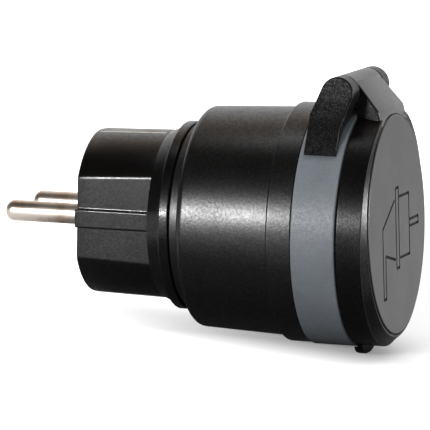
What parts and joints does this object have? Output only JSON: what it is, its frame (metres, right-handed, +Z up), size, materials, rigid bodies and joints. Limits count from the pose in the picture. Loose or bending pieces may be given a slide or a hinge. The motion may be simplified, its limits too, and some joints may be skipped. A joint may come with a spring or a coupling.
{
  "type": "remote control plug",
  "caption": "Splash-proof remote-switched plug adapter: round earthed plug behind, drum housing, socket under a sprung hinged lid.",
  "frame": {"origin": "middle of the plug's rear face, between its two pins, on the plug's axis", "axes": "+Y along the pins, into the wall socket; +Z up to the lid's hinge; +X to the right when looking along +Y at the lid"},
  "size_m": [0.0546, 0.0906, 0.0634],
  "materials": {
    "black_plastic": "smooth moulded black, satin sheen",
    "lid_disc": "fine satin black, engraved",
    "grained_plastic": "spark-eroded grain, matte black",
    "grey_plastic": "smooth cool grey, satin",
    "insert_plastic": "black heat-proof moulding",
    "shutter_plastic": "off-white moulding",
    "black_rubber": "matte black rubber",
    "nickel": "nickel-plated brass, satin",
    "brass": "bare stamped brass",
    "copper": "enamelled copper wire",
    "steel": "zinc-plated steel",
    "board": "green solder mask",
    "relay_case": "blue moulded case",
    "film_case": "yellow moulded case",
    "can": "aluminium can",
    "chip": "black epoxy",
    "varistor_coat": "blue epoxy coat"
  },
  "bodies": {
    "housing": {"rear_housing": "black_plastic", "plug_pin_left": "nickel", "plug_pin_right": "nickel", "pin_strip_left": "brass", "pin_strip_right": "brass", "earth_strip_top": "nickel", "earth_strip_bottom": "nickel", "earth_bar_top": "brass", "earth_bar_bottom": "brass", "earth_clip_top": "nickel", "earth_clip_bottom": "nickel", "housing_seal": "black_rubber", "drum_housing": "black_plastic", "front_ring": "grey_plastic", "hinge_bracket": "grained_plastic", "hinge_pin": "steel", "socket_insert": "insert_plastic", "socket_rim": "insert_plastic", "shutter_spring": "steel", "contact_carrier": "insert_plastic", "socket_contact_left": "brass", "socket_contact_right": "brass", "circuit_board": "board", "relay": "relay_case", "film_capacitor": "film_case", "electrolytic_capacitor": "can", "bridge_rectifier": "chip", "varistor": "varistor_coat", "surface_parts": "chip", "receiver_board": "board", "receiver_chips": "chip", "antenna_coil": "copper", "long_screws": "steel", "lid_spring": "steel"},
    "lid": {"lid": "black_plastic", "lid_face": "lid_disc", "lid_gasket": "black_rubber"},
    "shutter": {"shutter": "shutter_plastic"}
  },
  "joints": [
    {"name": "lid_hinge", "type": "hinge", "parent": "housing", "child": "lid", "pos_m": [0, -0.05995, 0.0307], "axis": [-1, 0, 0], "range_deg": [0, 115], "stiffness_Nm_per_rad": 0.02, "springref_deg": -51.57, "deforming": ["lid_spring"]},
    {"name": "shutter_turn", "type": "hinge", "parent": "housing", "child": "shutter", "pos_m": [0, -0.046, 0], "axis": [0, -1, 0], "range_deg": [0, 42], "stiffness_Nm_per_rad": 0.0004, "springref_deg": -28.65, "deforming": ["shutter_spring"]}
  ]
}
